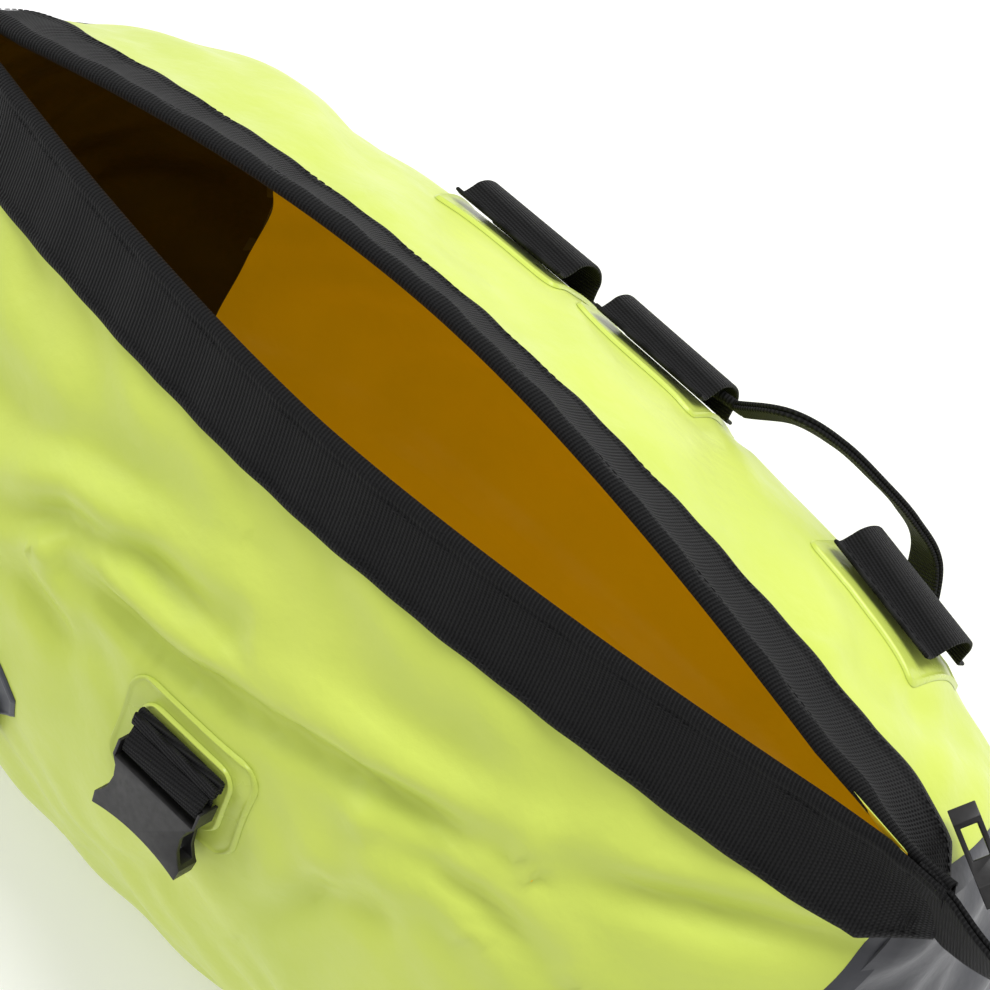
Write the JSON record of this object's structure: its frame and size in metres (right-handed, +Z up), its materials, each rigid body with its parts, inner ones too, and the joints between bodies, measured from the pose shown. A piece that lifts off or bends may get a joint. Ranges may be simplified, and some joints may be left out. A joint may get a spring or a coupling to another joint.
{
  "type": "duffel bag",
  "caption": "Open roll-top waterproof duffel bag of coated fabric with charcoal ends, webbing-bound mouth, side-release clips, rear webbing loops and a grab handle.",
  "frame": {"origin": "centre of the flat base guard's under face, where the bag rests on the floor", "axes": "+X along the bag towards the end whose mouth clip is a socket, -Y towards the front with the single clip, +Z up"},
  "size_m": [0.5582, 0.2738, 0.3094],
  "materials": {
    "yellow_fabric": "coated tarpaulin, semi-gloss",
    "charcoal_fabric": "coated tarpaulin, satin",
    "webbing": "ribbed woven nylon",
    "clip_plastic": "moulded acetal, satin",
    "stiffener": "plain strip"
  },
  "bodies": {
    "bag": {"back_lip_band": "webbing", "back_lip_stiffener": "stiffener", "back_panel": "yellow_fabric", "base_guard": "charcoal_fabric", "base_panel": "yellow_fabric", "end_panel_left": "charcoal_fabric", "end_panel_right": "charcoal_fabric", "front_clip_anchor": "webbing", "front_corner_loop": "webbing", "front_corner_patch": "charcoal_fabric", "front_lip_band": "webbing", "front_lip_stiffener": "stiffener", "front_panel": "yellow_fabric", "front_patch_inner": "yellow_fabric", "front_patch_outer": "yellow_fabric", "mouth_tail_left": "webbing", "mouth_tail_right": "webbing", "rear_handle_anchor": "webbing", "rear_loop_inner_left": "webbing", "rear_loop_inner_right": "webbing", "rear_loop_outer_right": "webbing", "rear_patch_inner_left": "yellow_fabric", "rear_patch_inner_right": "yellow_fabric", "rear_patch_outer_right": "yellow_fabric"},
    "front_clip": {"front_clip_loop": "webbing", "front_clip_socket": "clip_plastic"},
    "mouth_clip_right": {"mouth_clip_loop_right": "webbing", "mouth_clip_socket": "clip_plastic"},
    "mouth_clip_left": {"mouth_clip_loop_left": "webbing", "mouth_clip_plug": "clip_plastic"},
    "prong_upper": {"mouth_clip_prong_upper": "clip_plastic"},
    "prong_lower": {"mouth_clip_prong_lower": "clip_plastic"},
    "rear_handle": {"rear_handle": "webbing"}
  },
  "joints": [
    {"name": "front_clip_hinge", "type": "hinge", "parent": "bag", "child": "front_clip", "pos_m": [0.01003, -0.11667, 0.17576], "axis": [-1, -0.003, 0.0012], "range_deg": [0, 140]},
    {"name": "mouth_clip_right_hinge", "type": "hinge", "parent": "bag", "child": "mouth_clip_right", "pos_m": [0.26825, 0.01135, 0.23635], "axis": [-0.1878, 0.3559, -0.9155], "range_deg": [0, 90]},
    {"name": "mouth_clip_left_hinge", "type": "hinge", "parent": "bag", "child": "mouth_clip_left", "pos_m": [-0.26825, 0.01135, 0.23635], "axis": [-0.1878, -0.3559, 0.9155], "range_deg": [0, 90]},
    {"name": "prong_upper_flex", "type": "hinge", "parent": "mouth_clip_left", "child": "prong_upper", "pos_m": [-0.23848, 0.01763, 0.25746], "axis": [-0.4428, 0.8626, 0.2445], "range_deg": [0, 6], "stiffness_Nm_per_rad": 0.4},
    {"name": "prong_lower_flex", "type": "hinge", "parent": "mouth_clip_left", "child": "prong_lower", "pos_m": [-0.23416, 0.02581, 0.2364], "axis": [-0.4428, 0.8626, 0.2445], "range_deg": [-6, 0], "stiffness_Nm_per_rad": 0.4},
    {"name": "rear_handle_swing", "type": "hinge", "parent": "bag", "child": "rear_handle", "pos_m": [0.06024, 0.10315, 0.20316], "axis": [-0.7733, -0.1323, 0.62], "range_deg": [-25, 50]}
  ],
  "couplings": [
    {"joint": "prong_lower_flex", "follows": "prong_upper_flex", "ratio": -1}
  ]
}
